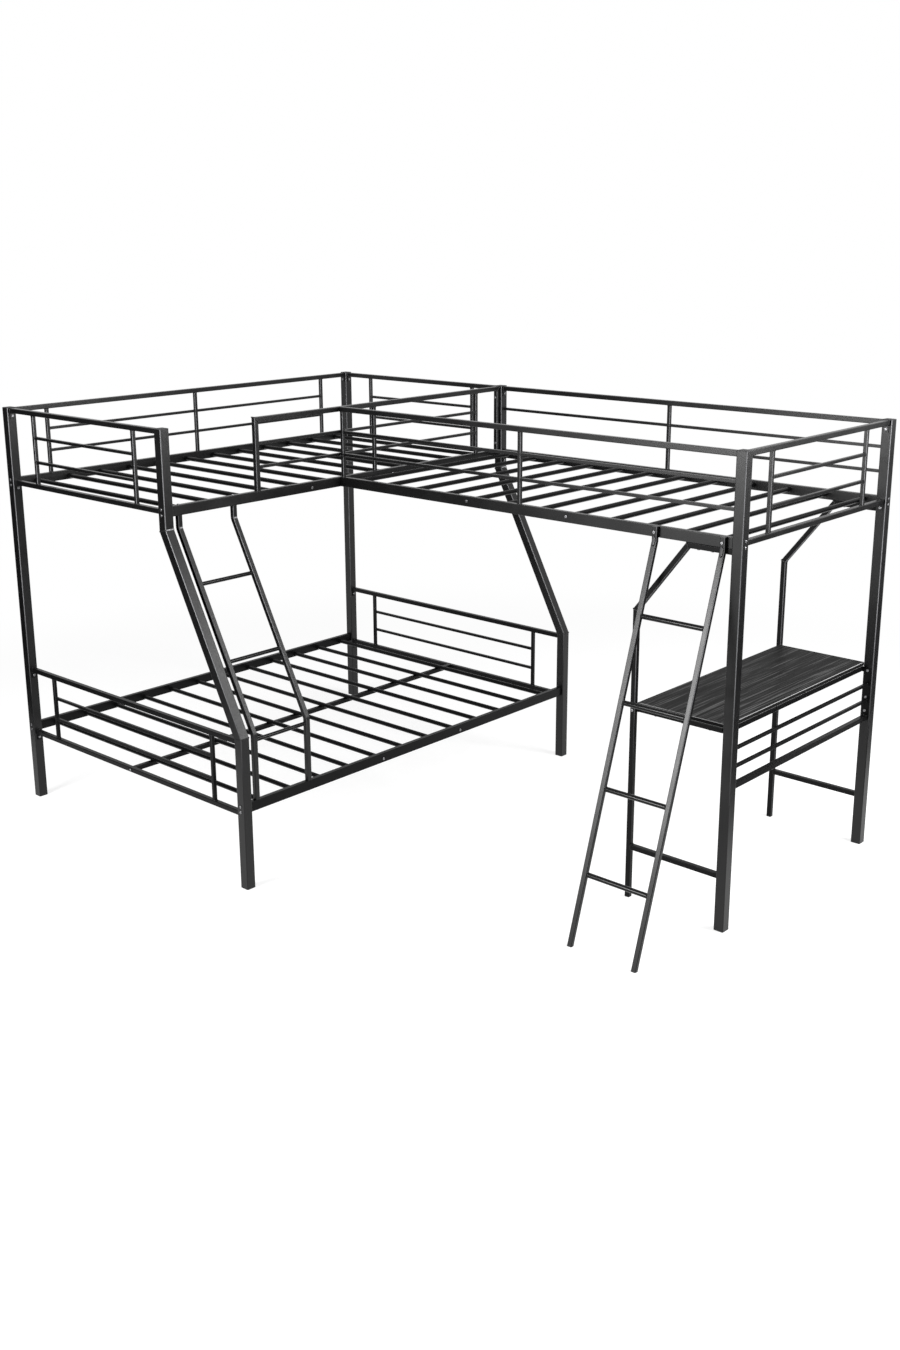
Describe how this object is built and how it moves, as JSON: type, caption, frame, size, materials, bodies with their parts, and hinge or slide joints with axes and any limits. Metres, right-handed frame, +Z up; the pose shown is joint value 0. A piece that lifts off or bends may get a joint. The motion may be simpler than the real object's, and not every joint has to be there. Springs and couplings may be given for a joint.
{
  "type": "loft and bunk bed",
  "caption": "L-shaped black steel tube bunk bed joined to a loft, with guard rails, slatted decks, a bent fixed ladder, a leaning ladder and a wood-grain desk under the loft.",
  "frame": {"origin": "centre of the overall bounding box, on the floor", "axes": "+X along the loft from the bunk to the desk end, +Y along the bunk away from its ladder, +Z up"},
  "size_m": [2.9932, 1.9864, 1.724],
  "materials": {
    "powder_coat": "semi-matte black powder coat",
    "black_plastic": "moulded matte black",
    "desk_board": "charcoal wood-grain laminate",
    "black_bolt": "black zinc, slight shine",
    "zinc_steel": "plain zinc plate, hidden inside the tubes"
  },
  "bodies": {
    "root": {"bunk_ladder_back_stile": "powder_coat", "bunk_ladder_bolts": "black_bolt", "bunk_ladder_front_stile": "powder_coat", "bunk_ladder_rungs": "powder_coat", "center_beam": "powder_coat", "desk_back_leg_frame": "powder_coat", "desk_bolts": "black_bolt", "desk_end_frame": "powder_coat", "desk_feet": "black_plastic", "desk_frame": "powder_coat", "desk_front_leg_frame": "powder_coat", "desk_screws": "black_bolt", "desk_top": "desk_board", "guard_bolts": "black_bolt", "loft_back_guard": "powder_coat", "loft_back_rail": "powder_coat", "loft_end_panel": "powder_coat", "loft_front_guard": "powder_coat", "loft_front_rail": "powder_coat", "loft_ladder_bolts": "black_bolt", "loft_ladder_ends": "powder_coat", "loft_ladder_feet": "black_plastic", "loft_ladder_left_stile": "powder_coat", "loft_ladder_right_stile": "powder_coat", "loft_ladder_rungs": "powder_coat", "loft_slats": "powder_coat", "lower_back_panel": "powder_coat", "lower_bunk_slats": "powder_coat", "lower_front_panel": "powder_coat", "lower_left_rail": "powder_coat", "lower_right_rail": "powder_coat", "panel_bolts": "black_bolt", "post_bunk_back_left": "powder_coat", "post_bunk_back_right": "powder_coat", "post_bunk_front_left": "powder_coat", "post_bunk_front_right": "powder_coat", "post_caps": "black_plastic", "post_feet": "black_plastic", "post_loft_back": "powder_coat", "post_loft_front": "powder_coat", "rail_bolts": "black_bolt", "rail_end_blocks": "zinc_steel", "slat_bolts": "black_bolt", "slat_end_plugs": "zinc_steel", "tube_end_plugs": "zinc_steel", "upper_back_panel": "powder_coat", "upper_bunk_slats": "powder_coat", "upper_front_panel": "powder_coat", "upper_left_guard": "powder_coat", "upper_left_rail": "powder_coat", "upper_right_guard": "powder_coat", "upper_right_rail": "powder_coat", "weld_nuts": "zinc_steel"}
  },
  "joints": []
}
